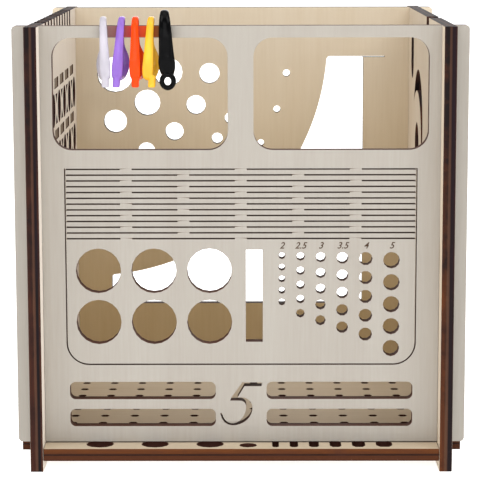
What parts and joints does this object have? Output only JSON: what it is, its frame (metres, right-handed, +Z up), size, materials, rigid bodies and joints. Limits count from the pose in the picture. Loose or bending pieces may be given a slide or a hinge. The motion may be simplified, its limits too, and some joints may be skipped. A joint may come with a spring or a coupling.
{
  "type": "tool storage caddy",
  "caption": "Open-topped laser-cut plywood tool caddy with a fold-out tool rack on a living hinge, hole gauge, comb, pierced floor and clips on the front rail.",
  "frame": {"origin": "middle of the box's footprint, on the table", "axes": "X across the front to the right, Y from the front to the back, Z up; the hinged flap is on the -Y face"},
  "size_m": [0.142, 0.156, 0.145],
  "materials": {
    "birch_plywood": "bare sanded birch ply with laser-browned edges",
    "white_plastic": "smooth moulded plastic",
    "purple_plastic": "smooth moulded plastic",
    "orange_plastic": "smooth moulded plastic",
    "yellow_plastic": "smooth moulded plastic",
    "black_plastic": "smooth moulded plastic"
  },
  "bodies": {
    "caddy": {"front_panel": "birch_plywood", "back_panel": "birch_plywood", "left_side": "birch_plywood", "right_side": "birch_plywood", "floor_panel": "birch_plywood"},
    "strip_01": {"hinge_strip_01": "birch_plywood"},
    "strip_02": {"hinge_strip_02": "birch_plywood"},
    "strip_03": {"hinge_strip_03": "birch_plywood"},
    "strip_04": {"hinge_strip_04": "birch_plywood"},
    "strip_05": {"hinge_strip_05": "birch_plywood"},
    "strip_06": {"hinge_strip_06": "birch_plywood"},
    "strip_07": {"hinge_strip_07": "birch_plywood"},
    "strip_08": {"hinge_strip_08": "birch_plywood"},
    "strip_09": {"hinge_strip_09": "birch_plywood"},
    "strip_10": {"hinge_strip_10": "birch_plywood"},
    "strip_11": {"hinge_strip_11": "birch_plywood"},
    "strip_12": {"hinge_strip_12": "birch_plywood"},
    "flap": {"tool_flap": "birch_plywood"},
    "white_clip": {"clip_white": "white_plastic"},
    "purple_clip": {"clip_purple": "purple_plastic"},
    "orange_clip": {"clip_orange": "orange_plastic"},
    "yellow_clip": {"clip_yellow": "yellow_plastic"},
    "black_clip": {"clip_black": "black_plastic"}
  },
  "joints": [
    {"name": "bend_01", "type": "hinge", "parent": "caddy", "child": "strip_01", "pos_m": [0, -0.07, 0.0953], "axis": [-1, 0, 0], "range_deg": [0, 6.92]},
    {"name": "bend_02", "type": "hinge", "parent": "strip_01", "child": "strip_02", "pos_m": [0, -0.07, 0.09347], "axis": [-1, 0, 0], "range_deg": [0, 6.92]},
    {"name": "bend_03", "type": "hinge", "parent": "strip_02", "child": "strip_03", "pos_m": [0, -0.07, 0.09164], "axis": [-1, 0, 0], "range_deg": [0, 6.92]},
    {"name": "bend_04", "type": "hinge", "parent": "strip_03", "child": "strip_04", "pos_m": [0, -0.07, 0.08981], "axis": [-1, 0, 0], "range_deg": [0, 6.92]},
    {"name": "bend_05", "type": "hinge", "parent": "strip_04", "child": "strip_05", "pos_m": [0, -0.07, 0.08798], "axis": [-1, 0, 0], "range_deg": [0, 6.92]},
    {"name": "bend_06", "type": "hinge", "parent": "strip_05", "child": "strip_06", "pos_m": [0, -0.07, 0.08615], "axis": [-1, 0, 0], "range_deg": [0, 6.92]},
    {"name": "bend_07", "type": "hinge", "parent": "strip_06", "child": "strip_07", "pos_m": [0, -0.07, 0.08432], "axis": [-1, 0, 0], "range_deg": [0, 6.92]},
    {"name": "bend_08", "type": "hinge", "parent": "strip_07", "child": "strip_08", "pos_m": [0, -0.07, 0.08249], "axis": [-1, 0, 0], "range_deg": [0, 6.92]},
    {"name": "bend_09", "type": "hinge", "parent": "strip_08", "child": "strip_09", "pos_m": [0, -0.07, 0.08066], "axis": [-1, 0, 0], "range_deg": [0, 6.92]},
    {"name": "bend_10", "type": "hinge", "parent": "strip_09", "child": "strip_10", "pos_m": [0, -0.07, 0.07883], "axis": [-1, 0, 0], "range_deg": [0, 6.92]},
    {"name": "bend_11", "type": "hinge", "parent": "strip_10", "child": "strip_11", "pos_m": [0, -0.07, 0.077], "axis": [-1, 0, 0], "range_deg": [0, 6.92]},
    {"name": "bend_12", "type": "hinge", "parent": "strip_11", "child": "strip_12", "pos_m": [0, -0.07, 0.07517], "axis": [-1, 0, 0], "range_deg": [0, 6.92]},
    {"name": "bend_13", "type": "hinge", "parent": "strip_12", "child": "flap", "pos_m": [0, -0.07, 0.07334], "axis": [-1, 0, 0], "range_deg": [0, 6.92]},
    {"name": "white_clip_slide", "type": "slide", "parent": "caddy", "child": "white_clip", "axis": [1, 0, 0], "range_m": [-0.012, 0.014]},
    {"name": "purple_clip_slide", "type": "slide", "parent": "caddy", "child": "purple_clip", "axis": [1, 0, 0], "range_m": [-0.012, 0.014]},
    {"name": "orange_clip_slide", "type": "slide", "parent": "caddy", "child": "orange_clip", "axis": [1, 0, 0], "range_m": [-0.012, 0.014]},
    {"name": "yellow_clip_slide", "type": "slide", "parent": "caddy", "child": "yellow_clip", "axis": [1, 0, 0], "range_m": [-0.012, 0.014]},
    {"name": "black_clip_slide", "type": "slide", "parent": "caddy", "child": "black_clip", "axis": [1, 0, 0], "range_m": [-0.012, 0.014]}
  ],
  "couplings": [
    {"joint": "bend_02", "follows": "bend_01", "ratio": 1},
    {"joint": "bend_03", "follows": "bend_01", "ratio": 1},
    {"joint": "bend_04", "follows": "bend_01", "ratio": 1},
    {"joint": "bend_05", "follows": "bend_01", "ratio": 1},
    {"joint": "bend_06", "follows": "bend_01", "ratio": 1},
    {"joint": "bend_07", "follows": "bend_01", "ratio": 1},
    {"joint": "bend_08", "follows": "bend_01", "ratio": 1},
    {"joint": "bend_09", "follows": "bend_01", "ratio": 1},
    {"joint": "bend_10", "follows": "bend_01", "ratio": 1},
    {"joint": "bend_11", "follows": "bend_01", "ratio": 1},
    {"joint": "bend_12", "follows": "bend_01", "ratio": 1},
    {"joint": "bend_13", "follows": "bend_01", "ratio": 1},
    {"joint": "purple_clip_slide", "follows": "white_clip_slide", "ratio": 1},
    {"joint": "orange_clip_slide", "follows": "white_clip_slide", "ratio": 1},
    {"joint": "yellow_clip_slide", "follows": "white_clip_slide", "ratio": 1},
    {"joint": "black_clip_slide", "follows": "white_clip_slide", "ratio": 1}
  ]
}
